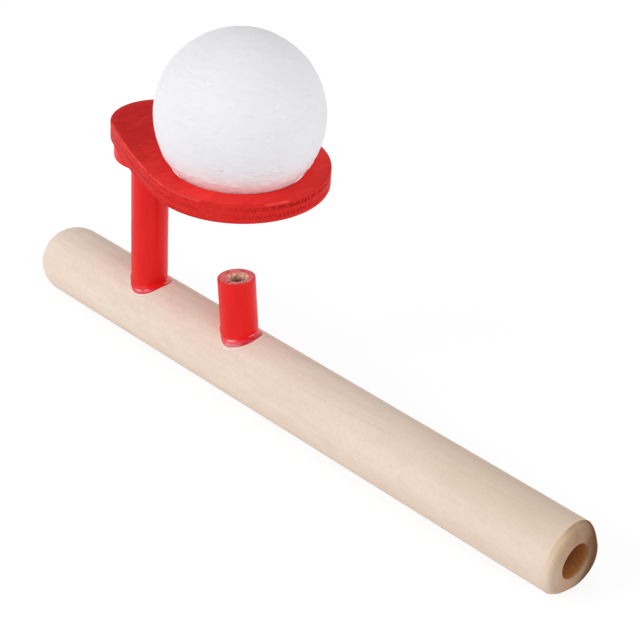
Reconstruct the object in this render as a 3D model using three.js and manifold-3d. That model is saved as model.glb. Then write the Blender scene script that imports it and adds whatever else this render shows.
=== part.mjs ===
// A blow ball pipe toy. The player blows into the pipe's mouth, and the jet from the nozzle lifts a
// foam ball out of its seat, a round hole in a plate on a post behind the nozzle.
//
// Millimetres. The pipe lies along X with the middle of its mouth face at the origin and its body on the
// negative side, the post and the ball stand up along +Z, and Y runs across the toy.
import * as THREE from "three";
import { mergeVertices } from "three/addons/utils/BufferGeometryUtils.js";
import Module from "manifold-3d";

const wasm = await Module();
wasm.setup();

// The pipe: a sanded dowel, bevelled round its mouth and rounded over at its closed tail.
const pipeDiameter = 15.9;
const pipeLength = 153.6;
const mouthBevelLength = 1.7;
const mouthBevelDepth = 1.3;
const mouthBevelCrown = 0.1;
const tailRoundLength = 6.9;
const tailRoundDepth = 6.8;

// The air way: drilled from the mouth, and on past the nozzle's hole to the drill's point.
const boreDiameter = 7.6;
const boreRimEase = 0.3;
const borePastNozzle = 2.5;
const drillPointAngle = 118;

// The post: a dowel in a blind hole, up to the underside of the ball holder.
const postDiameter = 8.2;
const postFromTail = 32.9;
const postSocketDepth = 7.5;
const postStandout = 35.45;

// The boss: a slice of thicker dowel round the top of the post.
const bossDiameter = 15.6;
const bossHeight = 5.5;

// The nozzle: a dowel that leans a little towards the post, on a ledge cut into the bore's crown. Its own
// bore is a little in front of its axis, with a torn rim.
const nozzleDiameter = 8.2;
const nozzleBoreDiameter = 3.6;
const nozzleBoreOffset = 0.4;
const nozzleRimEase = 0.4;
const nozzleFromPost = 30.05;
const nozzleStandout = 12.3;
const nozzleLean = 6.9;
const nozzleLedgeDepth = 1.6;

// The ball, and the plate that holds it: a round rim about the ball's hole that draws in to a pad over
// the post, with sides that bow out a little.
const ballDiameter = 35;
const ballSink = 7;
const plateThickness = 4.1;
const rimWidth = 5.1;
const seatFromPost = 27;
const padDiameter = 20.6;
const padFromPost = 2.8;
const sideRadius = 118;
const plateEase = 0.3;

// The beads of glue round the dowels' feet. The glue has pooled on one side, where a bead has its full
// width and height, and only a share of them is left at the back.
const postGlueWidth = 1.4;
const postGlueHeight = 0.5;
const nozzleGlueWidth = 1.7;
const nozzleGlueHeight = 0.7;
const glueBackShare = 0.2;
const gluePoolAngle = -27;
const glueToe = 0.1;

// Clearances and edges.
const glueGap = 0.2;
const ledgeGap = 0.3;
const ballGap = 0.2;
const dowelEase = 0.3;
const cutOverrun = 5;

// Facets.
const pipeSides = 64;
const dowelSides = 48;
const tailSteps = 8;
const bevelSteps = 3;
const easeSteps = 2;
const seatSteps = 40;
const sideSteps = 8;
const padSteps = 20;
const holeSteps = 56;
const glueSteps = 4;
const ballSteps = 9;

const pipeRadius = pipeDiameter / 2;
const boreRadius = boreDiameter / 2;
const postRadius = postDiameter / 2;
const nozzleRadius = nozzleDiameter / 2;
const nozzleHoleRadius = nozzleRadius + glueGap;
const ballRadius = ballDiameter / 2;
const lean = THREE.MathUtils.degToRad(nozzleLean);

const postX = postFromTail - pipeLength;
const nozzleX = postX + nozzleFromPost;
const seatX = postX + seatFromPost;
const postFoot = pipeRadius - postSocketDepth;
const plateBottom = pipeRadius + postStandout;
const plateTop = plateBottom + plateThickness;
const ledgeHeight = boreRadius - nozzleLedgeDepth;
const seatHoleRadius = Math.sqrt(ballRadius ** 2 - (ballRadius - ballSink) ** 2);
const ballCentre = plateTop - plateEase + Math.sqrt((ballRadius + ballGap) ** 2 - seatHoleRadius ** 2);

const bareWood = new THREE.MeshStandardMaterial({ color: 0xe6cfb2, roughness: 0.75, metalness: 0 });
const redPaint = new THREE.MeshStandardMaterial({ color: 0xd8242a, roughness: 0.4, metalness: 0 });
const redGlue = new THREE.MeshStandardMaterial({ color: 0xe8576a, roughness: 0.2, metalness: 0 });
const whiteFoam = new THREE.MeshStandardMaterial({ color: 0xf2f1f5, roughness: 0.8, metalness: 0 });

// A mesh geometry as a solid that can be cut.
function solidOf(geometry) {
  const bare = geometry.clone();
  bare.deleteAttribute("normal");
  bare.deleteAttribute("uv");
  const merged = mergeVertices(bare);
  const mesh = new wasm.Mesh({
    numProp: 3,
    vertProperties: new Float32Array(merged.attributes.position.array),
    triVerts: new Uint32Array(merged.index.array),
  });
  return new wasm.Manifold(mesh);
}

// A cut solid as a mesh geometry again.
function geometryOf(solid) {
  const mesh = solid.getMesh();
  const geometry = new THREE.BufferGeometry();
  geometry.setAttribute("position", new THREE.BufferAttribute(mesh.vertProperties, 3));
  geometry.setIndex(new THREE.BufferAttribute(mesh.triVerts, 1));
  geometry.computeVertexNormals();
  return geometry;
}

// A profile of [radius, height] points turned about Z.
function turned(profile, sides) {
  const points = profile.map(([radius, height]) => new THREE.Vector2(radius, height));
  return new THREE.LatheGeometry(points, sides).rotateX(Math.PI / 2);
}

// A cutter for a round hole along Z from a floor up to a height.
function drill(radius, floor, top) {
  const cutter = new THREE.CylinderGeometry(radius, radius, top - floor, dowelSides);
  return cutter.rotateX(Math.PI / 2).translate(0, 0, (floor + top) / 2);
}

// The pipe's outline from the middle of its tail round to the bottom of its bore, as radius and height
// above the mouth face, which is at 0.
function pipeProfile() {
  const profile = [[0, -pipeLength]];
  for (let i = 0; i <= tailSteps; i++) {
    const angle = (Math.PI / 2) * (i / tailSteps);
    const radius = pipeRadius - tailRoundDepth * (1 - Math.sin(angle));
    profile.push([radius, tailRoundLength * (1 - Math.cos(angle)) - pipeLength]);
  }
  for (let i = 0; i <= bevelSteps; i++) {
    const along = i / bevelSteps;
    const crown = mouthBevelCrown * Math.sin(Math.PI * along);
    profile.push([pipeRadius - mouthBevelDepth * along + crown, mouthBevelLength * (along - 1) + crown]);
  }
  const boreEnd = nozzleX - nozzleHoleRadius - borePastNozzle;
  const pointLength = boreRadius / Math.tan(THREE.MathUtils.degToRad(drillPointAngle / 2));
  profile.push([boreRadius + boreRimEase, 0]);
  profile.push([boreRadius, -boreRimEase]);
  profile.push([boreRadius, boreEnd]);
  profile.push([0, boreEnd - pointLength]);
  return profile;
}

function makePipe() {
  const bored = turned(pipeProfile(), pipeSides).rotateY(Math.PI / 2);
  const top = pipeRadius + cutOverrun;
  const postHole = drill(postRadius + glueGap, postFoot, top).translate(postX, 0, 0);
  const nozzleHole = drill(nozzleHoleRadius, ledgeHeight, top).rotateY(-lean).translate(nozzleX, 0, 0);
  const solid = solidOf(bored).subtract(solidOf(postHole)).subtract(solidOf(nozzleHole));
  return new THREE.Mesh(geometryOf(solid), bareWood);
}

// A plain dowel along Z with both ends eased.
function dowel(radius, foot, top) {
  const profile = [
    [0, foot],
    [radius - dowelEase, foot],
    [radius, foot + dowelEase],
    [radius, top - dowelEase],
    [radius - dowelEase, top],
    [0, top],
  ];
  return turned(profile, dowelSides);
}

function makePost() {
  return new THREE.Mesh(dowel(postRadius, postFoot, plateBottom), redPaint);
}

function makeBoss() {
  const bossRadius = bossDiameter / 2;
  const holeRadius = postRadius + glueGap;
  const bottom = plateBottom - bossHeight;
  const profile = [
    [holeRadius, plateBottom],
    [holeRadius, bottom + dowelEase],
    [holeRadius + dowelEase, bottom],
    [bossRadius - dowelEase, bottom],
    [bossRadius, bottom + dowelEase],
    [bossRadius, plateBottom],
    [holeRadius, plateBottom],
  ];
  return new THREE.Mesh(turned(profile, dowelSides), redPaint);
}

function makeNozzle() {
  const boreInside = nozzleBoreDiameter / 2;
  const foot = ledgeHeight + ledgeGap;
  const tip = pipeRadius + nozzleStandout;
  const profile = [
    [0, foot - cutOverrun],
    [boreInside, foot - cutOverrun],
    [boreInside, tip - nozzleRimEase],
    [boreInside + 2 * nozzleRimEase, tip + nozzleRimEase],
    [0, tip + nozzleRimEase],
  ];
  const cutter = turned(profile, dowelSides).translate(nozzleBoreOffset, 0, 0);
  const solid = solidOf(dowel(nozzleRadius, foot, tip)).subtract(solidOf(cutter));
  return new THREE.Mesh(geometryOf(solid), redPaint);
}

// The points of an arc about a centre on the X axis, without its last point.
function arcPoints(centre, radius, from, to, steps) {
  const points = [];
  for (let i = 0; i < steps; i++) {
    const angle = from + (to - from) * (i / steps);
    points.push(new THREE.Vector2(centre.x + radius * Math.cos(angle), centre.y + radius * Math.sin(angle)));
  }
  return points;
}

// The plate's outline, with the post at the origin: the rim's arc and the pad's, joined on each side by
// a long arc that both of them touch from inside.
function plateOutline() {
  const rimRadius = seatHoleRadius + rimWidth;
  const padRadius = padDiameter / 2;
  const rim = new THREE.Vector2(seatFromPost, 0);
  const pad = new THREE.Vector2(padFromPost, 0);
  const apart = seatFromPost - padFromPost;
  const toRim = sideRadius - rimRadius;
  const toPad = sideRadius - padRadius;
  const acrossX = (toPad ** 2 - toRim ** 2 + apart ** 2) / (2 * apart);
  const side = new THREE.Vector2(padFromPost + acrossX, -Math.sqrt(toPad ** 2 - acrossX ** 2));
  const rimTouch = Math.atan2(rim.y - side.y, rim.x - side.x);
  const padTouch = Math.atan2(pad.y - side.y, pad.x - side.x);
  const otherSide = new THREE.Vector2(side.x, -side.y);
  return [
    ...arcPoints(rim, rimRadius, -rimTouch, rimTouch, seatSteps),
    ...arcPoints(side, sideRadius, rimTouch, padTouch, sideSteps),
    ...arcPoints(pad, padRadius, padTouch, 2 * Math.PI - padTouch, padSteps),
    ...arcPoints(otherSide, sideRadius, -padTouch, -rimTouch, sideSteps),
  ];
}

function makeHolder() {
  const shape = new THREE.Shape(plateOutline());
  const hole = arcPoints(new THREE.Vector2(seatFromPost, 0), seatHoleRadius, 2 * Math.PI, 0, holeSteps);
  shape.holes.push(new THREE.Path(hole));
  const plate = new THREE.ExtrudeGeometry(shape, {
    depth: plateThickness - 2 * plateEase,
    bevelThickness: plateEase,
    bevelSize: plateEase,
    bevelOffset: -plateEase,
    bevelSegments: easeSteps,
  });
  return new THREE.Mesh(plate.translate(0, 0, plateBottom + plateEase), redPaint);
}

function makeBall() {
  return new THREE.Mesh(new THREE.IcosahedronGeometry(ballRadius, ballSteps), whiteFoam);
}

// How far along a dowel's axis, from the pipe's axis, a line beside it meets the pipe's skin. The line
// is at a radius and an angle from the dowel's axis, which leans back by the tilt.
function skinHeight(radius, angle, tilt) {
  const across = radius * Math.sin(angle);
  const up = Math.sqrt((pipeRadius + glueGap) ** 2 - across ** 2);
  return (up - radius * Math.cos(angle) * Math.sin(tilt)) / Math.cos(tilt);
}

// A bead's section at a share of its full size, as radius and height: rounded on top, with a thin toe.
function glueSection(dowelRadius, width, height, share) {
  const inner = dowelRadius + glueGap;
  const spread = (width - glueGap) * share;
  const rise = (height - glueToe) * share;
  const section = [
    [inner, 0],
    [inner + spread, 0],
  ];
  for (let i = glueSteps; i >= 0; i--) {
    const angle = (Math.PI / 2) * (i / glueSteps);
    section.push([inner + spread * Math.sin(angle), glueToe + rise * Math.cos(angle)]);
  }
  return section;
}

// A bead of glue that runs round a dowel and follows the pipe's saddle.
function makeGlue(dowelRadius, width, height, tilt) {
  const pool = THREE.MathUtils.degToRad(gluePoolAngle);
  const perRow = glueSteps + 3;
  const positions = [];
  const faces = [];
  for (let i = 0; i < dowelSides; i++) {
    const angle = 2 * Math.PI * (i / dowelSides);
    const pooled = Math.max(0, Math.cos(angle - pool));
    const share = glueBackShare + (1 - glueBackShare) * pooled;
    for (const [radius, rise] of glueSection(dowelRadius, width, height, share)) {
      const foot = skinHeight(radius, angle, tilt);
      positions.push(radius * Math.cos(angle), radius * Math.sin(angle), foot + rise);
    }
    for (let j = 0; j < perRow; j++) {
      const here = i * perRow + j;
      const along = i * perRow + ((j + 1) % perRow);
      const next = ((i + 1) % dowelSides) * perRow;
      const round = next + j;
      const both = next + ((j + 1) % perRow);
      faces.push(here, round, along, along, round, both);
    }
  }
  const bead = new THREE.BufferGeometry();
  bead.setAttribute("position", new THREE.Float32BufferAttribute(positions, 3));
  bead.setIndex(faces);
  bead.computeVertexNormals();
  return new THREE.Mesh(bead, redGlue);
}

function named(name, mesh, group) {
  mesh.name = name;
  group.add(mesh);
  return mesh;
}

const toy = new THREE.Group();
named("pipe", makePipe(), toy);

const stand = new THREE.Group();
stand.position.x = postX;
toy.add(stand);
named("post", makePost(), stand);
named("post_boss", makeBoss(), stand);
named("ball_holder", makeHolder(), stand);
named("post_glue", makeGlue(postRadius, postGlueWidth, postGlueHeight, 0), stand);

const jet = new THREE.Group();
jet.position.x = nozzleX;
jet.rotation.y = -lean;
toy.add(jet);
named("nozzle", makeNozzle(), jet);
named("nozzle_glue", makeGlue(nozzleRadius, nozzleGlueWidth, nozzleGlueHeight, lean), jet);

named("foam_ball", makeBall(), toy).position.set(seatX, 0, ballCentre);

export default toy;
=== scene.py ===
import math
import random

import bmesh
import bpy
from mathutils import Matrix, Vector, kdtree, noise


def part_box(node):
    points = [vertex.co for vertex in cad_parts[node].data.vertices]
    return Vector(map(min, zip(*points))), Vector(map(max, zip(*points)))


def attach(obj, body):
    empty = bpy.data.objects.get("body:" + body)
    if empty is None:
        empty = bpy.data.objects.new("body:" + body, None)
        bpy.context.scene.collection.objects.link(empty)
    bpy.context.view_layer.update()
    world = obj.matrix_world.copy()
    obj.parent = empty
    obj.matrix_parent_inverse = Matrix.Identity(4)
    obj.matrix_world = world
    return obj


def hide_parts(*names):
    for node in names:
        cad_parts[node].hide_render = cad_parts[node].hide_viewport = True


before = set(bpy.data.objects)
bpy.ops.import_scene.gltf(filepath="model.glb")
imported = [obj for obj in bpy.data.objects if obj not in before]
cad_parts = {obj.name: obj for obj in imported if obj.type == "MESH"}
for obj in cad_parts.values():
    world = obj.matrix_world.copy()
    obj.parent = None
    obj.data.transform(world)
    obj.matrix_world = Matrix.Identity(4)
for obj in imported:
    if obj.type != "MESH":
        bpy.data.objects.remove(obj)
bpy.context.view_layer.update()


# The pipe is a birch dowel, sanded a little under 16 mm and left bare, with a growth ring along its top.
# Its mouth is bored and bevelled by hand, and its tail is rounded over on a sander. Two holes in its top
# take the post and the nozzle.
mm = 0.001
pipe_low, pipe_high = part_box("pipe")
pipe_radius = pipe_high.z
bevel_length = 1.7 * mm
bevel_depth = 1.3 * mm
bevel_crown = 0.2 * mm
tail_round_length = 6.9 * mm
tail_round_depth = 6.8 * mm
bore_radius = 3.8 * mm
bore_rim_ease = 0.2 * mm
bore_length = 99 * mm
drill_point = 0.6 * bore_radius
ring_pitch = 1.2 * mm
sanding_ripple = 0.03 * mm
sanding_pitch = 9 * mm
# The bevel is cut a little deeper all round, and less on its lower far side, where its rim swells out.
bevel_left_under = 1.1 * mm
bevel_extra = 0.38 * mm
bevel_wander = 0.12 * mm
mouth_swell = 0.45 * mm
swell_side = math.radians(54)
bore_wear = 0.7 * mm
wear_reach = 3 * mm
wear_side = math.radians(46)
tail_flat = 0.3 * mm
glue_gap = 0.2 * mm
smooth_below = math.radians(38)
weld_gap = 0.003 * mm
grain_relief = 0.02 * mm
end_relief = 0.06 * mm
scratch_relief = 0.05 * mm

wood_pale = (0.925, 0.815, 0.70, 1)
wood_pink = (0.90, 0.745, 0.655, 1)
wood_tan = (0.70, 0.555, 0.41, 1)
wood_honey = (0.83, 0.67, 0.555, 1)
wood_fleck = (0.46, 0.33, 0.22, 1)
# The end grain goes from pale through tan to brown: partly its own stain, partly painted shade on its top
# and far side.
end_pale = (0.84, 0.685, 0.55, 1)
end_tan = (0.71, 0.50, 0.335, 1)
end_brown = (0.19, 0.085, 0.034, 1)
face_shade = (0.675, 0.625, 0.605, 1)
bore_pale = (0.47, 0.185, 0.058, 1)
bore_dark = (0.43, 0.155, 0.042, 1)
bore_shade_colour = (0.20, 0.06, 0.02, 1)
bore_rim = (0.52, 0.29, 0.15, 1)
# Where the markings and the painted shade start and are full, in millimetres along the pipe from its
# mouth, up, aside or out from its axis.
shaded_top_along = (-65, -10)
shaded_top_up = (3.5, 8)
honey_full = 20
growth_ring_along = (-76, -64)
growth_ring_aside = -1.4
growth_ring_slope = 0.05
growth_ring_off = (0.06, 0.26)
lower_far_out = (4.8, 8.0)
lower_far_aside = (1.0, 5.8)
stained_out = (4.5, 6.5)
bore_shade_along = (-8, -1)
rim_along = (-0.8, 0.0)


def clamped(value):
    return max(0, min(1, value))


def feed(tree, node, values):
    """Sets a node's inputs, or wires them where a value is another node's output."""
    for name, value in values.items():
        if isinstance(value, bpy.types.NodeSocket):
            tree.links.new(value, node.inputs[name])
        else:
            node.inputs[name].default_value = value


def add_node(tree, kind, values=None, **settings):
    """A shader node with its inputs fed and its settings set."""
    made = tree.nodes.new("ShaderNode" + kind)
    for name, setting in settings.items():
        setattr(made, name, setting)
    feed(tree, made, values or {})
    return made


def mixed(tree, share, first, second):
    """The first colour, going over to the second as share goes from 0 to 1."""
    return add_node(tree, "Mix", {0: share, 6: first, 7: second}, data_type="RGBA").outputs[2]


def reckoned(tree, operation, first, second):
    return add_node(tree, "Math", {0: first, 1: second}, operation=operation).outputs[0]


def plus(tree, first, second):
    return reckoned(tree, "ADD", first, second)


def times(tree, first, second):
    return reckoned(tree, "MULTIPLY", first, second)


def ramp(tree, value, low, high, start=0.0, end=1.0):
    """A mask that eases from start to end while value goes from low to high."""
    values = {"Value": value, "From Min": low, "From Max": high, "To Min": start, "To Max": end}
    return add_node(tree, "MapRange", values, interpolation_type="SMOOTHSTEP").outputs[0]


def streaks(tree, position, pitch, detail=2.0):
    """Noise whose blotches are about pitch long, wide and deep, in millimetres."""
    scale = tuple(1 / p for p in pitch)
    stretched = add_node(tree, "VectorMath", {0: position, 1: scale}, operation="MULTIPLY").outputs[0]
    return add_node(tree, "TexNoise", {"Vector": stretched, "Scale": 1.0, "Detail": detail}).outputs["Fac"]


def new_group(name, inputs, outputs):
    """An empty node group with its sockets, and its two end nodes."""
    group = bpy.data.node_groups.new(name, "ShaderNodeTree")
    for socket, kind in inputs:
        group.interface.new_socket(socket, in_out="INPUT", socket_type="NodeSocket" + kind)
    for socket, kind in outputs:
        group.interface.new_socket(socket, in_out="OUTPUT", socket_type="NodeSocket" + kind)
    return group, group.nodes.new("NodeGroupInput"), group.nodes.new("NodeGroupOutput")


def wood_fibres():
    """Masks of a fine-grained wood at a position in millimetres, with its grain along X."""
    masks = ("Mottle", "Rings", "Fibres", "Pores")
    group, given, result = new_group("wood_fibres", [("Position", "Vector")], [(m, "Float") for m in masks])
    at = given.outputs["Position"]
    mottle = ramp(group, streaks(group, at, (15, 4, 4)), 0.35, 0.65)
    rings = ramp(group, streaks(group, at, (70, 1.5, 1.5), 1.0), 0.35, 0.65)
    fibres = ramp(group, streaks(group, at, (5, 0.28, 0.28), 3.0), 0.3, 0.7)
    pores = ramp(group, streaks(group, at, (1.5, 0.16, 0.16), 1.0), 0.66, 0.8)
    feed(group, result, dict(zip(masks, (mottle, rings, fibres, pores))))
    return group


fibres_group = wood_fibres()


def millimetres(tree, turn=(0, 0, 0)):
    """The piece's own coordinates in millimetres, turned to bring its grain along X."""
    own = add_node(tree, "TexCoord").outputs["Object"]
    scale = (1 / mm, 1 / mm, 1 / mm)
    return add_node(tree, "Mapping", {"Vector": own, "Rotation": turn, "Scale": scale}).outputs[0]


def put_in_scene(name, data):
    thing = bpy.data.objects.new(name, data)
    bpy.context.scene.collection.objects.link(thing)
    return thing


def new_material(name):
    """A material with its node tree and its Principled shader."""
    material = bpy.data.materials.new(name)
    material.use_nodes = True
    shader = material.node_tree.nodes["Principled BSDF"]
    return material, material.node_tree, shader


def give_look(tree, shader, colour, roughness, gloss, height, relief):
    """Gives a shader its colour, roughness and gloss, and a height of which 1 stands for the relief."""
    normal = add_node(tree, "Bump", {"Height": height, "Distance": relief, "Strength": 1.0}).outputs[0]
    values = {"Base Color": colour, "Roughness": roughness, "Specular IOR Level": gloss, "Normal": normal}
    feed(tree, shader, values)


def bare_wood():
    """Long grain: cream with pinker patches, tan bands, dark flecks, a growth ring and sanding marks, with
    painted shade on its top near the mouth.
    """
    material, tree, shader = new_material("bare_wood")
    at = millimetres(tree)
    fibres = add_node(tree, "Group", {"Position": at}, node_tree=fibres_group).outputs
    colour = mixed(tree, fibres["Mottle"], wood_pale, wood_pink)
    along, aside, up = add_node(tree, "SeparateXYZ", {"Vector": at}).outputs
    colour = mixed(tree, ramp(tree, along, pipe_low.x / mm, honey_full, 0.2, 0.75), colour, wood_honey)
    # Painted shade darkens the top of the pipe towards its mouth.
    band = times(tree, ramp(tree, along, *shaded_top_along, 0.0, 0.5), ramp(tree, up, *shaded_top_up))
    colour = mixed(tree, band, colour, wood_tan)
    colour = mixed(tree, times(tree, fibres["Rings"], 0.12), colour, wood_tan)
    colour = mixed(tree, times(tree, fibres["Fibres"], 0.08), colour, wood_tan)
    blotches = ramp(tree, streaks(tree, at, (6, 2.8, 2.8), 4.0), 0.48, 0.7, 0.0, 0.2)
    colour = mixed(tree, blotches, colour, wood_tan)
    colour = mixed(tree, times(tree, fibres["Pores"], 0.25), colour, wood_fleck)
    rubbed = ramp(tree, streaks(tree, at, (0.42, 1.3, 1.3), 2.0), 0.42, 0.68)
    colour = mixed(tree, times(tree, rubbed, 0.17), colour, wood_tan)
    off_ring = reckoned(tree, "SUBTRACT", aside, times(tree, along, growth_ring_slope))
    off_ring = reckoned(tree, "SUBTRACT", off_ring, growth_ring_aside)
    ring = ramp(tree, reckoned(tree, "ABSOLUTE", off_ring, 0), *growth_ring_off, 0.35, 0.0)
    ring = times(tree, ring, ramp(tree, streaks(tree, at, (9, 9, 9)), 0.4, 0.52))
    ring = times(tree, ring, ramp(tree, along, *growth_ring_along))
    colour = mixed(tree, times(tree, ring, ramp(tree, up, 0, 1)), colour, wood_tan)
    rough = ramp(tree, fibres["Fibres"], 0, 1, 0.62, 0.78)
    height = reckoned(tree, "SUBTRACT", fibres["Fibres"], fibres["Pores"])
    give_look(tree, shader, colour, rough, 0.12, height, grain_relief)
    return material


def end_grain():
    """The cut fibre ends at the mouth, fuzzier than the long grain, and browner towards the top, the far
    side and its lower far rim, partly its own stain and partly painted shade, and browner towards the bore."""
    material, tree, shader = new_material("end_grain")
    at = millimetres(tree)
    specks = streaks(tree, at, (0.5, 0.25, 0.25), 2.0)
    patches = streaks(tree, at, (2.5, 2.5, 2.5), 2.0)
    x, y, z = add_node(tree, "SeparateXYZ", {"Vector": at}).outputs
    flat = add_node(tree, "CombineXYZ", {"Y": y, "Z": z}).outputs[0]
    out = add_node(tree, "VectorMath", {0: flat}, operation="LENGTH").outputs["Value"]
    far = reckoned(tree, "DIVIDE", times(tree, y, reckoned(tree, "ABSOLUTE", y, 0)), out)
    upper = reckoned(tree, "MAXIMUM", z, -1.5)
    lower = times(tree, reckoned(tree, "MAXIMUM", times(tree, z, -0.4), 0), ramp(tree, y, -3, 1))
    lower_far = plus(tree, times(tree, y, 0.94), times(tree, z, -0.34))
    lower_far_rim = times(tree, ramp(tree, out, *lower_far_out, 0, 4.0), ramp(tree, lower_far, *lower_far_aside))
    # Browner towards the top, the far side and the lower far rim: partly the end grain's own stain, partly
    # painted shade.
    brown = plus(tree, times(tree, far, 0.82), times(tree, upper, 0.45))
    brown = plus(tree, plus(tree, brown, lower), times(tree, patches, 1.6))
    brown = plus(tree, plus(tree, brown, lower_far_rim), ramp(tree, out, *stained_out, 0.8, 0))
    colour = mixed(tree, ramp(tree, brown, -6.5, 1.5), end_pale, end_tan)
    colour = mixed(tree, ramp(tree, brown, 1.2, 7.5), colour, end_brown)
    face = ramp(tree, plus(tree, x, specks), -0.7, 0.5)
    shading = {0: face, 6: colour, 7: face_shade}
    colour = add_node(tree, "Mix", shading, data_type="RGBA", blend_type="MULTIPLY").outputs[2]
    colour = mixed(tree, times(tree, specks, 0.08), colour, wood_tan)
    give_look(tree, shader, colour, 0.85, 0.05, specks, end_relief)
    return material


def bored_wood():
    """The wall of the bore, scorched brown by the drill, with painted shade darkening it further in."""
    material, tree, shader = new_material("bored_wood")
    at = millimetres(tree)
    scratches = ramp(tree, streaks(tree, at, (2.5, 0.4, 0.4), 3.0), 0.3, 0.7)
    along = add_node(tree, "SeparateXYZ", {"Vector": at}).outputs[0]
    colour = mixed(tree, scratches, bore_pale, bore_dark)
    # Painted shade darkens the bore further in.
    colour = mixed(tree, ramp(tree, along, *bore_shade_along, 1.0, 0.0), colour, bore_shade_colour)
    colour = mixed(tree, ramp(tree, along, *rim_along, 0.0, 0.8), colour, bore_rim)
    give_look(tree, shader, colour, 0.8, 0.1, scratches, scratch_relief)
    return material


def finish_mesh(piece):
    """Faces outward, smooth where the shape is smooth, crisp where it has an edge."""
    bm = bmesh.new()
    bm.from_mesh(piece.data)
    bmesh.ops.recalc_face_normals(bm, faces=bm.faces)
    bm.to_mesh(piece.data)
    bm.free()
    piece.data.shade_smooth()
    piece.data.set_sharp_from_angle(angle=smooth_below)


def skinned(name, rows, closed):
    """A piece from rows of points that run round it; a row of one point closes an end."""
    mesh = bpy.data.meshes.new(name)
    bm = bmesh.new()
    rings = [[bm.verts.new(point) for point in row] for row in rows]
    pairs = list(zip(rings, rings[1:]))
    if closed:
        pairs.append((rings[-1], rings[0]))
    for lower, upper in pairs:
        count = max(len(lower), len(upper))
        for i in range(count):
            j = (i + 1) % count
            below = (lower[i % len(lower)], lower[j % len(lower)])
            above = (upper[j % len(upper)], upper[i % len(upper)])
            bm.faces.new(dict.fromkeys(below + above))
    bm.to_mesh(mesh)
    bm.free()
    piece = put_in_scene(name, mesh)
    finish_mesh(piece)
    return piece


def turned(name, profile, sides, ripple=lambda radius, along, angle: (radius, along)):
    """A piece turned about Z from a profile of radius and height, on the axis or closed on itself."""
    rows = []
    for radius, along in profile:
        row = []
        for i in range(sides if radius else 1):
            angle = 2 * math.pi * i / sides
            r, z = ripple(radius, along, angle) if radius else (0, along)
            row.append((r * math.cos(angle), r * math.sin(angle), z))
        rows.append(row)
    return skinned(name, rows, closed=profile[0][0] > 0)


def spaced(start, end, count):
    """Evenly spaced values from start towards end, without end."""
    return [start + (end - start) * i / count for i in range(count)]


def pipe_profile():
    """From the tail's middle over its rounding, along the barrel, over the bevel and down the bore."""
    profile = [(0, pipe_low.x)]
    for angle in spaced(0, math.pi / 2, 24):
        radius = pipe_radius - tail_round_depth * (1 - math.sin(angle))
        profile.append((radius, pipe_low.x + tail_round_length * (1 - math.cos(angle))))
    barrel = (pipe_low.x + tail_round_length, -bevel_length)
    barrel_rings = round((barrel[1] - barrel[0]) / ring_pitch)
    profile += [(pipe_radius, along) for along in spaced(*barrel, barrel_rings)]
    for share in spaced(0, 1, 8):
        crown = bevel_crown * math.sin(math.pi * share)
        profile.append((pipe_radius - bevel_depth * share + crown, bevel_length * (share - 1) + crown / 2))
    profile += [(radius, 0) for radius in spaced(pipe_radius - bevel_depth, bore_radius + bore_rim_ease, 8)]
    for angle in spaced(0, math.pi / 2, 4):
        rim = bore_rim_ease * (1 - math.sin(angle))
        profile.append((bore_radius + rim, bore_rim_ease * (math.cos(angle) - 1)))
    profile += [(bore_radius, along) for along in spaced(-bore_rim_ease, -bore_length, 60)]
    return profile + [(0, -bore_length - drill_point)]


def sanded(radius, along, angle):
    """The dowel isn't quite round after sanding, its tail is flatter on top, and its mouth is uneven."""
    where = Vector((along / sanding_pitch, 1.5 * math.cos(angle), 1.5 * math.sin(angle)))
    radius += sanding_ripple * noise.noise(where) * radius / pipe_radius
    into_tail = clamped(1 - (along - pipe_low.x) / tail_round_length)
    radius -= tail_flat * max(0, -math.cos(angle)) * into_tail**0.5
    wear_and_highlight = bore_wear * max(0, math.cos(angle - wear_side)) ** 1.5
    if radius < bore_radius + bore_rim_ease:
        return radius + wear_and_highlight * math.exp(along / wear_reach) * (radius > bore_radius / 2), along
    if along < -bevel_length:
        return radius, along
    face_radius = pipe_radius - bevel_depth
    cut = min((pipe_radius - radius) / bevel_depth, (radius - bore_radius) / (face_radius - bore_radius))
    cut = clamped(cut)
    if radius < face_radius:
        radius += wear_and_highlight * (1 - cut)
    under = max(0, math.cos(angle - swell_side)) ** 2.5
    left = bevel_left_under * under - bevel_extra
    left += bevel_wander * noise.noise(Vector((1.7 * math.cos(angle), 1.7 * math.sin(angle), 4)))
    return radius + left * cut, along + mouth_swell * under * cut


def socket_cutter(radius, floor, place):
    """A round cutter from a floor up out of the pipe, in a dowel's own frame."""
    top = 2 * pipe_radius
    cutter = turned("cutter", [(0, floor), (radius, floor), (radius, top), (0, top)], 96)
    cutter.data.transform(place)
    return cutter


def weld(mesh):
    """Joins points that a cut leaves almost on top of one another, and drops the slivers between them."""
    bm = bmesh.new()
    bm.from_mesh(mesh)
    bmesh.ops.remove_doubles(bm, verts=bm.verts, dist=weld_gap)
    bmesh.ops.dissolve_degenerate(bm, edges=bm.edges, dist=weld_gap)
    bm.to_mesh(mesh)
    bm.free()


def cut_out(piece, cutter):
    """Cuts one mesh from another and throws the cutter away."""
    cut = piece.modifiers.new("cut", "BOOLEAN")
    cut.operation = "DIFFERENCE"
    cut.solver = "EXACT"
    cut.object = cutter
    seen = piece.evaluated_get(bpy.context.evaluated_depsgraph_get())
    mesh = bpy.data.meshes.new_from_object(seen)
    piece.modifiers.remove(cut)
    piece.data = mesh
    bpy.data.objects.remove(cutter)
    weld(mesh)


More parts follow.
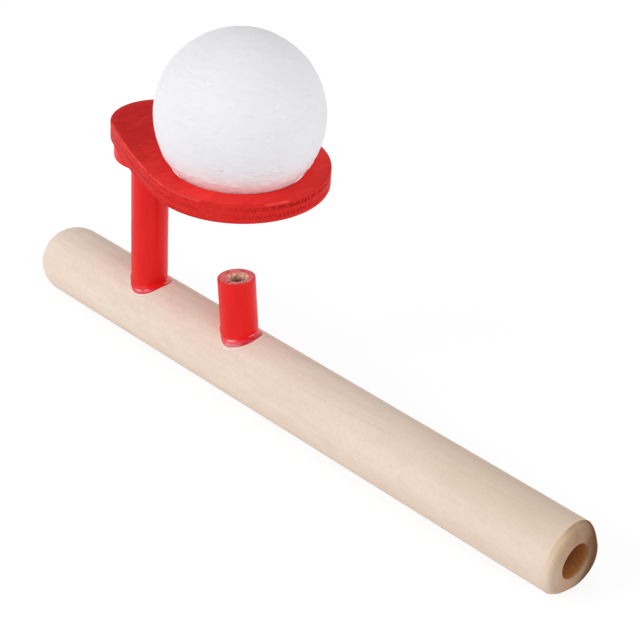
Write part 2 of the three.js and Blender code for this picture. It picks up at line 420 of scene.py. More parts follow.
post_low, post_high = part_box("post")
post_radius = (post_high.x - post_low.x) / 2
post_x = (post_high.x + post_low.x) / 2
nozzle_radius = 4.1 * mm
nozzle_lean = math.radians(6.9)
nozzle_from_post = 30.05 * mm
nozzle_ledge = 2.2 * mm
post_place = Matrix.Translation((post_x, 0, 0))
nozzle_place = Matrix.Translation((post_x + nozzle_from_post, 0, 0)) @ Matrix.Rotation(-nozzle_lean, 4, "Y")

pipe = turned("pipe_wood", pipe_profile(), 144, sanded)
pipe.data.transform(Matrix.Rotation(math.pi / 2, 4, "Y"))
cut_out(pipe, socket_cutter(post_radius + glue_gap, post_low.z, post_place))
cut_out(pipe, socket_cutter(nozzle_radius + glue_gap, nozzle_ledge, nozzle_place))
finish_mesh(pipe)
for material in (bare_wood(), end_grain(), bored_wood()):
    pipe.data.materials.append(material)
for face in pipe.data.polygons:
    off_axis = math.hypot(face.center.y, face.center.z)
    on_wall = off_axis < bore_radius + bore_rim_ease / 10
    on_worn_wall = off_axis < 1.5 * bore_radius and face.center.x < -bore_rim_ease
    if (on_wall or on_worn_wall) and face.center.x > -bore_length - bore_radius:
        face.material_index = 2
    elif face.center.x > -bevel_length and off_axis < pipe_radius:
        face.material_index = 1
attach(pipe, "toy")
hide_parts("pipe")


# The post is a plain 8 mm dowel, dipped in red paint and glued into its hole. The paint fills most of the
# grain and leaves faint lengthwise lines.
red_bright = (0.83, 0.013, 0.011, 1)
red_thin = (0.95, 0.052, 0.047, 1)
red_sawn = (0.78, 0.036, 0.031, 1)
red_deep = (0.60, 0.005, 0.005, 1)
red_pit = (0.19, 0.002, 0.003, 1)
red_highlight = (0.93, 0.085, 0.075, 1)
dowel_ease = 0.3 * mm
paint_ripple = 0.03 * mm
paint_pitch = 5 * mm
paint_relief = 0.03 * mm


def red_paint():
    """Paint on wood: the colour, roughness and height, with the fibres showing through a little."""
    inputs = [("Position", "Vector"), ("Paint", "Color")]
    inputs += [(mask, "Float") for mask in ("Grain", "Raw", "Deeper")]
    outputs = [("Colour", "Color"), ("Roughness", "Float"), ("Height", "Float")]
    group, given, result = new_group("red_paint", inputs, outputs)
    at = given.outputs["Position"]
    raw = given.outputs["Raw"]
    fibres = add_node(group, "Group", {"Position": at}, node_tree=fibres_group).outputs
    patches = ramp(group, streaks(group, at, (6, 2.5, 2.5)), 0.35, 0.65)
    thin = times(group, fibres["Fibres"], 0.3)
    thin = plus(group, thin, times(group, patches, 0.25))
    thin = plus(group, thin, times(group, fibres["Pores"], 0.6))
    thin = plus(group, times(group, thin, given.outputs["Grain"]), given.outputs["Deeper"])
    colour = mixed(group, thin, given.outputs["Paint"], red_deep)
    pits = ramp(group, streaks(group, at, (0.3, 0.3, 0.3), 2.0), 0.44, 0.57)
    pitted = times(group, pits, raw)
    colour = mixed(group, pitted, colour, red_pit)
    rough = ramp(group, fibres["Mottle"], 0, 1, 0.3, 0.38)
    rough = plus(group, rough, times(group, raw, 0.25))
    height = reckoned(group, "SUBTRACT", times(group, fibres["Fibres"], 0.25), pitted)
    feed(group, result, {"Colour": colour, "Roughness": rough, "Height": height})
    return group


paint_group = red_paint()


def painted_dowel():
    """Satin red paint over a dowel's upright grain."""
    material, tree, shader = new_material("painted_dowel")
    at = millimetres(tree, (0, math.pi / 2, 0))
    values = {"Position": at, "Paint": red_bright, "Grain": 0.5, "Raw": 0.0, "Deeper": 0.0}
    paint = add_node(tree, "Group", values, node_tree=paint_group).outputs
    give_look(tree, shader, paint["Colour"], paint["Roughness"], 0.19, paint["Height"], paint_relief)
    return material


dowel_paint = painted_dowel()


def dipped(radius, along, angle):
    """Paint lies a little unevenly on a dipped piece."""
    place = (along, radius * math.cos(angle), radius * math.sin(angle))
    where = Vector([distance / paint_pitch for distance in place])
    return radius + paint_ripple * noise.noise(where), along


def dowel_profile(radius, foot, top):
    """A plain dowel with both ends eased."""
    profile = [(0, foot), (radius - dowel_ease, foot)]
    profile += [(radius, along) for along in spaced(foot + dowel_ease, top - dowel_ease, 40)]
    return profile + [(radius, top - dowel_ease), (radius - dowel_ease, top), (0, top)]


post = turned("post_dowel", dowel_profile(post_radius, post_low.z, post_high.z), 96, dipped)
post.matrix_world = post_place
post.data.materials.append(dowel_paint)
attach(post, "toy")
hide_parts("post")


# The boss is a short slice of thicker dowel with a hole through it. It is glued under the plate and
# stiffens the joint round the top of the post.
boss_low, boss_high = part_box("post_boss")
boss_radius = (boss_high.x - boss_low.x) / 2
boss_round = 0.5 * mm


def boss_profile():
    """The slice's wall inside and out, with its lower outer edge rounded and its top left square."""
    hole = post_radius + glue_gap
    profile = [(hole, along) for along in spaced(boss_high.z, boss_low.z, 4)]
    profile += [(radius, boss_low.z) for radius in spaced(hole, boss_radius - boss_round, 4)]
    for angle in spaced(0, math.pi / 2, 6):
        out = boss_radius - boss_round * (1 - math.sin(angle))
        profile.append((out, boss_low.z + boss_round * (1 - math.cos(angle))))
    profile += [(boss_radius, along) for along in spaced(boss_low.z + boss_round, boss_high.z, 8)]
    return profile + [(boss_radius, boss_high.z)]


boss = turned("boss_slice", boss_profile(), 96, dipped)
boss.matrix_world = post_place
boss.data.materials.append(dowel_paint)
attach(boss, "toy")
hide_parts("post_boss")


# The ball holder is a teardrop sawn from 4 mm plywood, with a round hole for the ball, sanded along its
# edges and painted red. The saw leaves the plies that it cuts across rough under the paint.
plate_low, plate_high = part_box("ball_holder")
plate_thick = plate_high.z - plate_low.z
rim_radius = (plate_high.y - plate_low.y) / 2
seat_x = plate_high.x - rim_radius
seat_radius = 14 * mm
pad_radius = 10.3 * mm
pad_from_seat = 24.2 * mm
side_radius = 118 * mm
top_round = 0.35 * mm
foot_round = 0.25 * mm
seat_round = 0.3 * mm
plate_columns = 900
face_fibre = math.radians(86)
cross_fibre = face_fibre - math.pi / 2
# Depths of the four glue lines between the five plies, as shares of the plate's thickness.
ply_shares = (0.13, 0.37, 0.56, 0.78)
# How rough the saw leaves the edge, as shares of the most: on the lower crossed ply, on the plies that
# run the other way, along the fibres of any ply, and between the pits.
lower_ply_share = 0.75
uncrossed_share = 0.6
least_raw_share = 0.12
smooth_share = 0.6
ply_sink = 0.05 * mm
pit_depth = 0.12 * mm
pit_pitch = 0.3 * mm
# Stretches of the top arris, in degrees round the seat, where a highlight is painted along it.
highlight_stretches = ((-165, -66), (-29, -11), (100, 150))
highlight_fade = 6
# Where the top darkens towards the pad and again near the seat, and where its bare dashes fade, in
# millimetres along the toy from its mouth.
pad_darker_along = (-122, -80)
seat_darker_along = (-88, -76)
bare_dashes_along = (-105, -80)


def side_centre():
    """The centre of the long arc on the plate's +Y side, from the seat's centre."""
    to_rim = side_radius - rim_radius
    to_pad = side_radius - pad_radius
    along = (to_pad**2 - to_rim**2 + pad_from_seat**2) / (2 * pad_from_seat)
    return Vector((along - pad_from_seat, -math.sqrt(to_pad**2 - along**2)))


side = side_centre()
pad = Vector((-pad_from_seat, 0))
rim_touch = math.atan2(-side.y, -side.x)
pad_touch = pad + (pad - side).normalized() * pad_radius
pad_from = math.atan2(pad_touch.y, pad_touch.x)


def outline_at(angle):
    """How far the outline is from the seat's centre at an angle, and which way the edge faces there."""
    turn = math.remainder(angle, 2 * math.pi)
    if abs(turn) <= rim_touch:
        return rim_radius, turn
    beside = abs(turn) < pad_from
    centre = Vector((side.x, math.copysign(side.y, -turn))) if beside else pad
    radius = side_radius if beside else pad_radius
    ray = Vector((math.cos(turn), math.sin(turn)))
    reach = ray.dot(centre) + math.sqrt(radius**2 - centre.length_squared + ray.dot(centre) ** 2)
    facing = ray * reach - centre
    return reach, math.atan2(facing.y, facing.x)


def ply_rawness(facing, depth_share):
    """How squarely the saw cut across the fibres of the ply at that depth, and how far that ply sinks."""
    ply = sum(depth_share > line for line in ply_shares)
    crossed = ply in (1, 3)
    square = abs(math.cos(facing - (cross_fibre if crossed else face_fibre)))
    if not crossed:
        return uncrossed_share * square**5, 0
    torn = square**3 * (lower_ply_share if ply == 3 else 1)
    return torn, torn


def highlight_on_arris(angle):
    """How strong the painted highlight on the top arris is there, with soft ends to each stretch."""
    turn = math.degrees(math.remainder(angle, 2 * math.pi))
    inside = max(min(turn - start, end - turn) for start, end in highlight_stretches)
    return clamped(0.5 + inside / highlight_fade)


def plate_section():
    """Points round the plate's cut section: share of the way from hole to edge, inset, depth and kind."""
    section = [(share, 0, 0, "face") for share in spaced(0.04, 0.96, 16)]
    for angle in spaced(0, math.pi / 2, 5):
        section.append((1, top_round * (1 - math.sin(angle)), top_round * (1 - math.cos(angle)), "edge"))
    section += [(1, 0, depth, "edge") for depth in spaced(top_round, plate_thick - foot_round, 26)]
    for angle in spaced(0, math.pi / 2, 4):
        inset = foot_round * (1 - math.cos(angle))
        section.append((1, inset, plate_thick - foot_round * (1 - math.sin(angle)), "edge"))
    section += [(share, 0, plate_thick, "face") for share in spaced(0.96, 0.04, 10)]
    for angle in spaced(0, math.pi / 2, 4):
        inset = -seat_round * (1 - math.sin(angle))
        section.append((0, inset, plate_thick - seat_round * (1 - math.cos(angle)), "hole"))
    section += [(0, 0, depth, "hole") for depth in spaced(plate_thick - seat_round, seat_round, 8)]
    for angle in spaced(0, math.pi / 2, 4):
        inset = -seat_round * (1 - math.cos(angle))
        section.append((0, inset, seat_round * (1 - math.sin(angle)), "hole"))
    return section


def keep_masks(mesh, masks):
    """Stores named masks, a value for each point, for the mesh's material to read."""
    for name, values in masks.items():
        mesh.attributes.new(name, "FLOAT", "POINT").data.foreach_set("value", values)


def kept_mask(tree, name):
    return add_node(tree, "Attribute", attribute_name=name).outputs["Fac"]


def make_plate():
    """The plate, ply by ply, with masks of its sawn edge, of the painted highlight along its arris and of
    its top face.
    """
    section = plate_section()
    rows = []
    rawness = []
    wear_and_highlight = []
    top = []
    for share, inset, depth, kind in section:
        row = []
        for i in range(plate_columns):
            angle = 2 * math.pi * i / plate_columns
            reach, facing = outline_at(angle)
            distance = seat_radius + (reach - seat_radius) * share - inset
            raw, sink = (0, 0) if kind == "face" else ply_rawness(facing, depth / plate_thick)
            z = plate_high.z - depth
            x = distance * math.cos(angle)
            y = distance * math.sin(angle)
            pits = max(0, noise.noise(Vector((x, y, 1.6 * z)) / pit_pitch) + 0.15)
            sunk = sink * ply_sink + raw * pit_depth * pits if kind == "edge" else 0
            row.append((seat_x + x - sunk * math.cos(facing), y - sunk * math.sin(facing), z))
            raw = least_raw_share + (1 - least_raw_share) * raw
            raw *= smooth_share + (1 - smooth_share) * min(1, 2 * pits)
            rawness.append(0 if kind == "face" else raw)
            # The painted highlight lies on the rows of the top arris.
            wear_and_highlight.append(highlight_on_arris(angle) if kind == "edge" and depth < top_round else 0)
            top.append(1 if kind == "face" and depth == 0 else 0)
        rows.append(row)
    plate = skinned("holder_plate", rows, closed=True)
    keep_masks(plate.data, {"raw_edge": rawness, "arris_highlight": wear_and_highlight, "top_face": top})
    return plate


def painted_ply():
    """Satin red paint over grain: pitted on the sawn edge, with a painted highlight along the top arris,
    and darker towards the pad.
    """
    material, tree, shader = new_material("painted_ply")
    at = millimetres(tree, (0, 0, -face_fibre))
    raw = kept_mask(tree, "raw_edge")
    arris = kept_mask(tree, "arris_highlight")
    top = kept_mask(tree, "top_face")
    along = add_node(tree, "SeparateXYZ", {"Vector": millimetres(tree)}).outputs[0]
    deeper = ramp(tree, along, *pad_darker_along, 0.65, 0.0)
    deeper = plus(tree, deeper, ramp(tree, along, *seat_darker_along, 0.0, 0.3))
    deeper = times(tree, deeper, ramp(tree, top, 0, 1, 0.35, 1.0))
    laid = mixed(tree, top, red_sawn, red_thin)
    values = {"Position": at, "Paint": laid, "Grain": 0.55, "Raw": raw, "Deeper": deeper}
    paint = add_node(tree, "Group", values, node_tree=paint_group).outputs
    dashes = ramp(tree, streaks(tree, at, (3.6, 0.32, 0.32), 2.0), 0.52, 0.66)
    shown = reckoned(tree, "SUBTRACT", ramp(tree, along, *bare_dashes_along, 0.3, 0.04), raw)
    colour = mixed(tree, times(tree, dashes, shown), paint["Colour"], red_pit)
    # A painted highlight along stretches of the top arris.
    wear_and_highlight = ramp(tree, plus(tree, arris, streaks(tree, at, (3, 3, 3), 2.0)), 1.0, 1.8)
    colour = mixed(tree, wear_and_highlight, colour, red_highlight)
    give_look(tree, shader, colour, paint["Roughness"], 0.02, paint["Height"], paint_relief)
    return material


plate = make_plate()
plate.data.materials.append(painted_ply())
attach(plate, "toy")
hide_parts("ball_holder")


# The nozzle is an 8 mm dowel bored a little off its middle and painted red on the outside. It is glued in
# over the pipe's bore, leaning back towards the post. The drill has torn the paint back from its hole.
nozzle_bore = 1.8 * mm
bore_offset = 0.4 * mm
ledge_gap = 0.3 * mm
nozzle_foot = nozzle_ledge + ledge_gap
nozzle_rise = 12.3 * mm
nozzle_tip = pipe_radius + nozzle_rise
tip_round = 0.3 * mm
rim_ease = 0.4 * mm
torn_depth = 0.25 * mm
torn_pitch = 0.8 * mm
torn_length = 4 * mm
torn_relief = 0.15 * mm
# Where the looks of its top change, in millimetres out from the hole or the dowel's axis, or up from the
# tip.
torn_back_out = (2.5, 3.2)
thick_paint_out = (3.5, 4.0)
shade_below_tip = (-3.2, -0.4)

torn_pale = (0.92, 0.60, 0.45, 1)
torn_tan = (0.62, 0.34, 0.20, 1)
nozzle_shade_colour = (0.20, 0.035, 0.02, 1)
thin_paint = (0.60, 0.02, 0.035, 1)
thin_pink = (0.84, 0.13, 0.145, 1)
thick_paint = (0.34, 0.010, 0.022, 1)


def nozzle_profile():
    """Down the bore, out under the foot, up the skin, over the rounded tip and back to the eased hole."""
    profile = [(nozzle_bore, along) for along in spaced(nozzle_tip - rim_ease, nozzle_foot, 40)]
    profile += [(nozzle_bore, nozzle_foot), (nozzle_radius - dowel_ease, nozzle_foot)]
    skin = (nozzle_foot + dowel_ease, nozzle_tip - tip_round)
    profile += [(nozzle_radius, along) for along in spaced(*skin, 40)]
    for angle in spaced(0, math.pi / 2, 5):
        out = nozzle_radius - tip_round * (1 - math.cos(angle))
        profile.append((out, nozzle_tip - tip_round * (1 - math.sin(angle))))
    ring = (nozzle_radius - tip_round, nozzle_bore + rim_ease)
    profile += [(radius, nozzle_tip) for radius in spaced(*ring, 10)]
    return profile + [(nozzle_bore + drop, nozzle_tip - rim_ease + drop) for drop in spaced(rim_ease, 0, 5)]


def near_hole(radius):
    """From 0 at the dowel's skin to 1 at its bore."""
    return (nozzle_radius - radius) / (nozzle_radius - nozzle_bore)


def torn(radius, along, angle):
    """The paint's ripple outside, and a ragged top and bore."""
    if radius > nozzle_radius - tip_round or along < nozzle_tip - torn_length:
        return dipped(radius, along, angle)
    where = Vector((radius * math.cos(angle), radius * math.sin(angle), along)) / torn_pitch
    rag = torn_depth * noise.noise(where) * near_hole(radius)
    return radius + rag, along - abs(rag)


def torn_top():
    """The nozzle's top and bore: thin pink paint on end grain, torn back to pale wood at the hole, with
    painted shade further down the bore.
    """
    material, tree, shader = new_material("torn_top")
    at = millimetres(tree)
    up = add_node(tree, "SeparateXYZ", {"Vector": at}).outputs[2]
    flat = add_node(tree, "VectorMath", {0: at, 1: (1, 1, 0)}, operation="MULTIPLY").outputs[0]
    hole = (bore_offset / mm, 0, 0)
    off_hole = add_node(tree, "VectorMath", {0: flat, 1: hole}, operation="DISTANCE").outputs["Value"]
    off_axis = add_node(tree, "VectorMath", {0: flat}, operation="LENGTH").outputs["Value"]
    rag = streaks(tree, at, (0.7, 0.7, 0.7), 3.0)
    torn_back = ramp(tree, plus(tree, off_hole, rag), *torn_back_out)
    smear = ramp(tree, streaks(tree, at, (0.6, 1.2, 1.0), 2.0), 0.4, 0.6)
    paint = mixed(tree, smear, thin_pink, thin_paint)
    paint = mixed(tree, ramp(tree, off_axis, *thick_paint_out), paint, thick_paint)
    fibre = mixed(tree, ramp(tree, rag, 0.4, 0.6), torn_pale, torn_tan)
    colour = mixed(tree, torn_back, fibre, paint)
    below_tip = reckoned(tree, "SUBTRACT", up, nozzle_tip / mm)
    # Painted shade darkens the bore below the tip.
    deep = ramp(tree, below_tip, *shade_below_tip, 1.0, 0.0)
    colour = mixed(tree, deep, colour, nozzle_shade_colour)
    rough = ramp(tree, torn_back, 0, 1, 0.8, 0.4)
    give_look(tree, shader, colour, rough, 0.5, rag, torn_relief)
    return material


nozzle = turned("nozzle_tube", nozzle_profile(), 128, torn)
for vert in nozzle.data.vertices:
    vert.co.x += bore_offset * near_hole(math.hypot(vert.co.x, vert.co.y))
nozzle.matrix_world = nozzle_place
nozzle.data.materials.append(dowel_paint)
nozzle.data.materials.append(torn_top())
for face in nozzle.data.polygons:
    off_axis = math.hypot(face.center.x, face.center.y)
    if off_axis < nozzle_radius - tip_round and face.center.z > nozzle_foot:
        face.material_index = 1
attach(nozzle, "toy")
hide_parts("nozzle")


# Each dowel stands in a bead of glue that the red paint has run into. The bead has pooled towards the
# front. It is red out to a wrinkled lip, with painted highlights on its wrinkles and painted shadow at
# its toe, and a clear film has crept out past it.
bead_columns = 160
bead_sunk = 0.1 * mm
least_width = 0.15 * mm
climb_height = 0.1 * mm
climb_width = 0.3 * mm
film_height = 0.07 * mm
ridge_height = 0.14 * mm
ridge_half = 0.27 * mm
film_thinned_share = 0.7
# Where the glue's looks change across, with 0 at the dowel, 1 at the bead's edge and 2 at the film's. The
# lip of every bead is marked with one value, wherever it lies.
lip_mark = 0.28
red_across = (0.2, 0.5)
toe_shadow_across = (0.75, 0.95)
gloss_across = (0.9, 1.1)
film_across = (1.0, 1.1)
pale_across = (1.1, 1.5)
film_edge_across = (1.8, 1.95)
# Where a painted reflection makes it pinker, in millimetres across the toy.
reflection_aside = (-4.5, -2)
bead_crimson = (0.66, 0.024, 0.038, 1)
bead_pink_reflection = (0.84, 0.07, 0.11, 1)
bead_lip_highlight = (0.95, 0.28, 0.27, 1)
bead_toe_shadow = (0.40, 0.010, 0.020, 1)
film_pink = (0.90, 0.50, 0.46, 1)
film_pale = (0.86, 0.73, 0.63, 1)
film_edge = (0.66, 0.50, 0.41, 1)


def peak(value, middle, half):
    """1 where the value is at the middle, down to 0 at half a width from it."""
    return max(0, 1 - abs(value - middle) / half)


def skin_height(radius, angle, tilt):
    """How far up a dowel's axis a line beside it meets the pipe's skin."""
    across = radius * math.sin(angle)
    up = math.sqrt(pipe_radius**2 - across**2)
    return (up - radius * math.cos(angle) * math.sin(tilt)) / math.cos(tilt)


def pooled_glue(angle, width, height, film, front, seed):
    """How far the glue has pooled at an angle, its bead's width and height there, and its film's width."""
    where = Vector((1.6 * math.cos(angle), 1.6 * math.sin(angle), seed))
    pooled = max(0, math.cos(angle - front))
    wide = least_width + width * pooled * (1 + 0.2 * noise.noise(where))
    tall = height * (0.4 + 0.6 * pooled + 0.5 * noise.noise(where * 2))
    creep = film * (0.15 + pooled + 0.4 * noise.noise(where * 1.3 + Vector((5, 0, 0))))
    return pooled, wide, tall, creep


def glue_bead(name, dowel_radius, tilt, width, height, film, lip_share, front, ridges, seed):
    """A rounded bead round a dowel's foot, widest at its front, with a wrinkled lip and a thin film."""
    rows = []
    across = []
    ridged = []
    lip_power = math.log(lip_mark) / math.log(lip_share)
    steps = [("bead", share) for share in spaced(0, 1, 20)] + [("film", share) for share in spaced(0, 1, 6)]
    steps += [("end", 1), ("under", 1), ("under", 0)]
    for kind, share in steps:
        row = []
        for angle in spaced(0, 2 * math.pi, bead_columns):
            pooled, wide, tall, creep = pooled_glue(angle, width, height, film, front, seed)
            ridge = 0
            if kind == "bead":
                turn = math.degrees(math.remainder(angle, 2 * math.pi))
                ridge = max(peak(turn, middle, half) for middle, half in ridges)
                ridge *= peak(share * width, lip_share * width, ridge_half)
                out = wide * share
                rise = film_height + (tall - film_height) * math.sqrt(max(0, 1 - share**2.2))
                rise += climb_height * pooled * math.exp(-out / climb_width) + ridge_height * ridge
            elif kind == "film":
                out = wide + creep * share
                rise = film_height * (1 - film_thinned_share * share)
            else:
                out = wide + creep if share else -bead_sunk
                rise = -bead_sunk if kind == "under" else 0
            radius = dowel_radius + out - (bead_sunk if kind == "bead" and share == 0 else 0)
            foot = skin_height(radius, angle, tilt)
            row.append((radius * math.cos(angle), radius * math.sin(angle), foot + rise))
            across.append(share**lip_power if kind == "bead" else 1 + share)
            ridged.append(ridge)
        rows.append(row)
    bead = skinned(name, rows, closed=True)
    keep_masks(bead.data, {"glue_across": across, "glue_ridge": ridged})
    return bead


def set_glue():
    """Glossy glue: red with the paint, pinker on its front with a painted reflection, with painted
    highlights on its wrinkles and painted shadow at its toe, and clear in the film.
    """
    material, tree, shader = new_material("set_glue")
    across = kept_mask(tree, "glue_across")
    ridge = kept_mask(tree, "glue_ridge")
    at = millimetres(tree)
    aside = add_node(tree, "SeparateXYZ", {"Vector": at}).outputs[1]
    clouds = ramp(tree, streaks(tree, at, (2.5, 2.5, 2.5), 2.0), 0.4, 0.6)
    shaken = plus(tree, across, ramp(tree, clouds, 0, 1, -0.08, 0.08))
    # A painted reflection makes the front side pinker.
    colour = mixed(tree, ramp(tree, aside, *reflection_aside, 1.0, 0.0), bead_crimson, bead_pink_reflection)
    colour = mixed(tree, ramp(tree, shaken, *red_across, 1.0, 0.0), colour, red_bright)
    # Painted highlights on the lip's wrinkles.
    colour = mixed(tree, ramp(tree, ridge, 0.1, 0.6, 0.0, 0.9), colour, bead_lip_highlight)
    # Painted shadow darkens the toe.
    colour = mixed(tree, ramp(tree, shaken, *toe_shadow_across, 0.0, 0.75), colour, bead_toe_shadow)
    film = mixed(tree, ramp(tree, shaken, *pale_across), film_pink, film_pale)
    colour = mixed(tree, ramp(tree, across, *film_across), colour, film)
    colour = mixed(tree, ramp(tree, across, *film_edge_across), colour, film_edge)
    rough = ramp(tree, across, *gloss_across, 0.18, 0.45)
    feed(tree, shader, {"Base Color": colour, "Roughness": rough})
    return material


glue = set_glue()
# A wrinkle is the middle and half the length of a stretch of the lip, in degrees round the dowel.
post_bead = {
    "dowel_radius": post_radius,
    "tilt": 0,
    "width": 1.9 * mm,
    "height": 0.08 * mm,
    "film": 0.5 * mm,
    "lip_share": 0.6,
    "ridges": ((-72, 16), (-48, 10), (4, 14)),
    "seed": 2.0,
}
nozzle_bead = {
    "dowel_radius": nozzle_radius,
    "tilt": nozzle_lean,
    "width": 1.6 * mm,
    "height": 0.45 * mm,
    "film": 0.8 * mm,
    "lip_share": 0.28,
    "ridges": ((-68, 22), (-8, 16)),
    "seed": 7.0,
}
front_side = math.radians(-27)
for node_name, name, place, values in (
    ("post_glue", "post_bead", post_place, post_bead),
    ("nozzle_glue", "nozzle_bead", nozzle_place, nozzle_bead),
):
    bead = glue_bead(name, front=front_side, **values)
    bead.matrix_world = place
    bead.data.materials.append(glue)
    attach(bead, "toy")
    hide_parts(node_name)


# The ball is moulded from expanded foam beads. Their outlines show as faint grooves on its skin, among
# small pits, nibs, wrinkles and short pale lines, with one darker speck in a small dent. Painted shade
# greys the grooves, pits and wrinkles, painted glints brighten the nibs and painted light brightens the
# foot. The hole's edge has dented and chipped a band round it.
ball_low, ball_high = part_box("foam_ball")
ball_centre = (ball_low + ball_high) / 2
ball_radius = (ball_high.z - ball_low.z) / 2
foam_bead_count = 620
groove_width = 0.55 * mm
groove_depth = 0.012 * mm
pit_count = 26
ball_pit_radius = 0.5 * mm
ball_pit_depth = 0.14 * mm
dent_depth = 0.16 * mm
# Where the dents and chips lie, as shares of the radius up from the middle.
dents_at_share = -0.52
dents_half_share = 0.13
chips_at_share = -0.45
chips_half_share = 0.1
skin_bumps = 0.03 * mm
skin_creases = 0.1 * mm
nib_count = 70
nib_radius = 0.42 * mm
nib_height = 0.12 * mm
big_nib_gain = 1.6
# The ways from the middle to the large nibs.
big_nibs = (
    (-0.435, -0.663, 0.610),
    (-0.462, -0.815, 0.350),
    (-0.462, -0.844, 0.272),
    (-0.563, -0.456, 0.689),
    (0.563, 0.181, 0.806),
    (0.110, 0.165, 0.980),
    (0.901, -0.225, 0.372),
    (0.833, -0.258, 0.490),
)
chip_height = 0.16 * mm
speck_way = Vector((0.549, -0.801, -0.239))
speck_radius = 0.36 * mm
foam_white = (0.865, 0.86, 0.895, 1)
foam_bright = (0.955, 0.955, 0.985, 1)
foam_shade_grey = (0.775, 0.77, 0.805, 1)
foam_speck_tint = (0.66, 0.57, 0.54, 1)
translucent_depth = 3 * mm
foam_relief = 0.1 * mm


def scattered(count, jitter, seed):
    """Directions spread evenly over a ball, then shaken."""
    chance = random.Random(seed)
    golden = math.pi * (3 - math.sqrt(5))
    found = []
    for i in range(count):
        up = 1 - 2 * (i + 0.5) / count
        flat = math.sqrt(1 - up * up)
        way = Vector((flat * math.cos(golden * i), flat * math.sin(golden * i), up))
        shake = Vector([chance.uniform(-jitter, jitter) for _ in range(3)])
        found.append((way + shake).normalized())
    return found


def nearest_index(ways):
    """A quick search for the nearest of some places on the ball."""
    tree = kdtree.KDTree(len(ways))
    for i, way in enumerate(ways):
        tree.insert(way * ball_radius, i)
    tree.balance()
    return tree


def hump_near(spots, point, radius):
    """A rounded hump, 1 at the nearest spot and 0 at a radius from it."""
    return max(0, 1 - (spots.find(point)[2] / radius) ** 2)


def make_ball():
    """The foam ball, with masks of the painted shade in its grooves and pits, of its pale marks with the
    painted glints on its nibs and the painted light on its foot, and of the speck.
    """
    mesh = bpy.data.meshes.new("ball_foam")
    bm = bmesh.new()
    bmesh.ops.create_icosphere(bm, subdivisions=7, radius=ball_radius)
    cells = nearest_index(scattered(foam_bead_count, 0.05, 3))
    pits = nearest_index(scattered(pit_count, 0.4, 11))
    nibs = nearest_index(scattered(nib_count, 0.5, 29))
    bigs = nearest_index([Vector(way) for way in big_nibs])
    shade_in_hollows = []
    whiter_and_lit = []
    specks = []
    for vert in bm.verts:
        way = vert.co.normalized()
        (_, _, first), (_, _, second) = cells.find_n(vert.co, 2)
        seam = max(0, 1 - (second - first) / groove_width)
        pit = hump_near(pits, vert.co, ball_pit_radius)
        speck = max(0, 1 - ((way - speck_way).length * ball_radius / speck_radius) ** 2)
        dented = peak(way.z, dents_at_share, dents_half_share) * noise.noise(way * 15)
        crease = clamped(3 * noise.noise(Vector((4.5 * way.x, 4.5 * way.y, 13 * way.z))) - 0.2)
        creased = clamped(noise.noise(way * 2.5 + Vector((3, 0, 0))) + 0.5 * way.z + 0.1)
        nib = hump_near(nibs, vert.co, nib_radius) * clamped(2.5 * creased - 0.5)
        nib = max(nib, big_nib_gain * hump_near(bigs, vert.co, nib_radius))
        chip = clamped(4 * noise.noise(way * 16) - 0.6) * peak(way.z, chips_at_share, chips_half_share)
        sunk = groove_depth * seam**1.5 + ball_pit_depth * max(pit, speck) ** 2
        sunk += dent_depth * dented + skin_bumps * noise.noise(way * 7)
        sunk -= skin_creases * creased * crease + nib_height * nib + chip_height * chip
        vert.co = way * (ball_radius - sunk)
        # Painted light brightens the foot of the ball, and painted glints the nibs.
        lit_foot = clamped(-0.5 - 3.3 * way.z)
        # Painted shade greys the grooves and the pits.
        shade_in_hollows.append(min(1, 0.15 * seam + 0.45 * pit))
        whiter_and_lit.append(min(1, 0.6 * nib + chip + 0.7 * lit_foot))
        specks.append(speck)
    bm.to_mesh(mesh)
    bm.free()
    keep_masks(mesh, {"foam_painted_shade": shade_in_hollows, "foam_nibs_and_lit": whiter_and_lit, "foam_speck": specks})
    mesh.shade_smooth()
    ball = put_in_scene("ball_foam", mesh)
    ball.location = ball_centre
    return ball


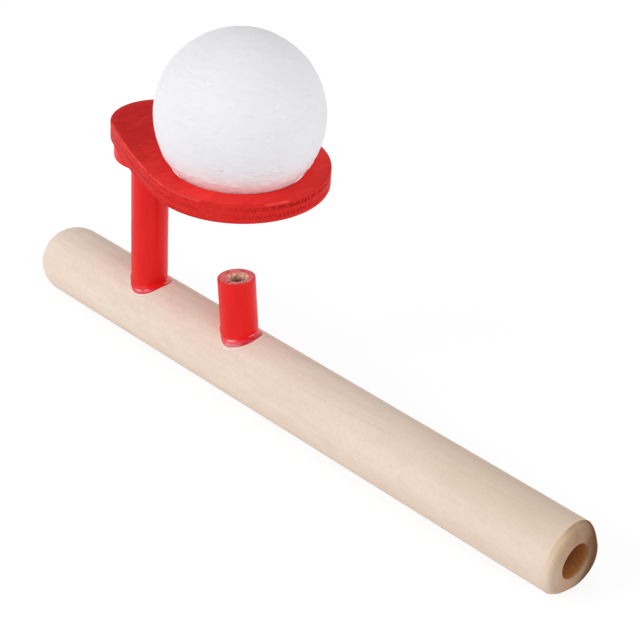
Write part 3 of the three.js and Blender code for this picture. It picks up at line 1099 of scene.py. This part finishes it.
def white_foam():
    """White foam: matt, a little translucent, with painted shade in its grooves and wrinkles, paler at its
    nibs and lines, with painted glints on the nibs and painted light on its foot.
    """
    material, tree, shader = new_material("white_foam")
    at = millimetres(tree)
    # Painted shade greys the wrinkles.
    wrinkles = streaks(tree, at, (3, 3, 0.9), 3.0)
    wrinkles = ramp(tree, wrinkles, 0.5, 0.75, 0, 0.25)
    greyed_by_shade = reckoned(tree, "MAXIMUM", kept_mask(tree, "foam_painted_shade"), wrinkles)
    off_line = reckoned(tree, "SUBTRACT", streaks(tree, at, (4.5, 4.5, 2.2), 1.0), 0.5)
    line = ramp(tree, reckoned(tree, "ABSOLUTE", off_line, 0), 0.004, 0.024, 1.0, 0.0)
    line = times(tree, line, ramp(tree, streaks(tree, at, (1.7, 1.7, 1.7), 1.0), 0.5, 0.62))
    patches = ramp(tree, streaks(tree, at, (7, 7, 7)), 0.4, 0.65)
    line = times(tree, line, ramp(tree, patches, 0.1, 0.7))
    whiter_and_lit = reckoned(tree, "MAXIMUM", kept_mask(tree, "foam_nibs_and_lit"), times(tree, line, 0.45))
    colour = mixed(tree, whiter_and_lit, mixed(tree, greyed_by_shade, foam_white, foam_shade_grey), foam_bright)
    colour = mixed(tree, kept_mask(tree, "foam_speck"), colour, foam_speck_tint)
    grain = streaks(tree, at, (0.35, 0.35, 0.35), 2.0)
    wrinkled = times(tree, ramp(tree, streaks(tree, at, (3, 3, 0.8), 2.0), 0.35, 0.7), patches)
    wrinkled = plus(tree, wrinkled, times(tree, line, 0.5))
    rough = ramp(tree, grain, 0.3, 0.7, 0.45, 0.62)
    height = plus(tree, times(tree, grain, 0.12), wrinkled)
    give_look(tree, shader, colour, rough, 0.35, height, foam_relief)
    feed(tree, shader, {"Subsurface Weight": 0.35, "Subsurface Radius": (1, 1, 1)})
    feed(tree, shader, {"Subsurface Scale": translucent_depth})
    return material


ball = make_ball()
ball.data.materials.append(white_foam())
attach(ball, "ball")
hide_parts("foam_ball")


# The floor is a plain white sheet that the pipe lies on. To the camera it is nearly white by itself, and
# keeps a faint shadow.
floor_side = 8.0
floor_colour = (0.85, 0.85, 0.86, 1)
floor_glow = 0.75
floor_white = 1.13


def seen_plainly(tree):
    """1 for what the camera sees, also in a mirror or through glass, and 0 for all other light."""
    path = add_node(tree, "LightPath").outputs
    seen = reckoned(tree, "MAXIMUM", path["Is Camera Ray"], path["Is Glossy Ray"])
    return reckoned(tree, "MAXIMUM", seen, path["Is Transmission Ray"])


def white_sheet():
    material = bpy.data.materials.new("white_sheet")
    material.use_nodes = True
    tree = material.node_tree
    tree.nodes.remove(tree.nodes["Principled BSDF"])
    lit = add_node(tree, "BsdfDiffuse", {"Color": floor_colour}).outputs[0]
    glow = add_node(tree, "Emission", {"Color": (1, 1, 1, 1), "Strength": floor_white}).outputs[0]
    share = times(tree, seen_plainly(tree), floor_glow)
    mix = add_node(tree, "MixShader", {0: share, 1: lit, 2: glow}).outputs[0]
    feed(tree, tree.nodes["Material Output"], {"Surface": mix})
    return material


bpy.ops.mesh.primitive_plane_add(size=floor_side, location=(0, 0, pipe_low.z - sanding_ripple))
floor = bpy.context.active_object
floor.name = "floor"
floor.data.materials.append(white_sheet())


# The light is a broad soft lamp on the camera's left, low enough to leave the far side of the pipe and
# the mouth in shade, with a weaker lamp on its right and a white room round them.
toy_middle = Vector((post_x / 2, 0, 30 * mm))
room_strength = 0.52
lamp_distance = 2.4
lamp_side = 1.6


def white_room():
    world = bpy.data.worlds.new("white_room")
    bpy.context.scene.world = world
    world.use_nodes = True
    tree = world.node_tree
    strength = ramp(tree, seen_plainly(tree), 0, 1, room_strength, 1.0)
    feed(tree, tree.nodes["Background"], {"Color": (1, 1, 1, 1), "Strength": strength})


def soft_lamp(name, way, power):
    """A square lamp that looks at the toy's middle from a direction."""
    lamp = bpy.data.lights.new(name, "AREA")
    lamp.size = lamp_side
    lamp.energy = power
    holder = put_in_scene(name, lamp)
    holder.location = toy_middle + Vector(way).normalized() * lamp_distance
    holder.rotation_euler = (-Vector(way)).to_track_quat("-Z", "Y").to_euler()


white_room()
soft_lamp("key", (-0.4, -0.82, 0.4), 29)
soft_lamp("fill", (0.9, 0.15, 0.3), 22)


# The camera stands where the photograph was taken from, in front of the toy's mouth end and above it.
camera_place = (134.17 * mm, -227.19 * mm, 215.11 * mm)
camera_turn = tuple(math.radians(degrees) for degrees in (57.426, -3.2607, 43.8195))
camera_data = bpy.data.cameras.new("camera")
camera_data.lens = 99.414
camera_data.sensor_width = 36
camera_data.clip_start = 10 * mm
camera = put_in_scene("camera", camera_data)
camera.location = camera_place
camera.rotation_euler = camera_turn
bpy.context.scene.camera = camera
bpy.context.scene.view_settings.view_transform = "Standard"
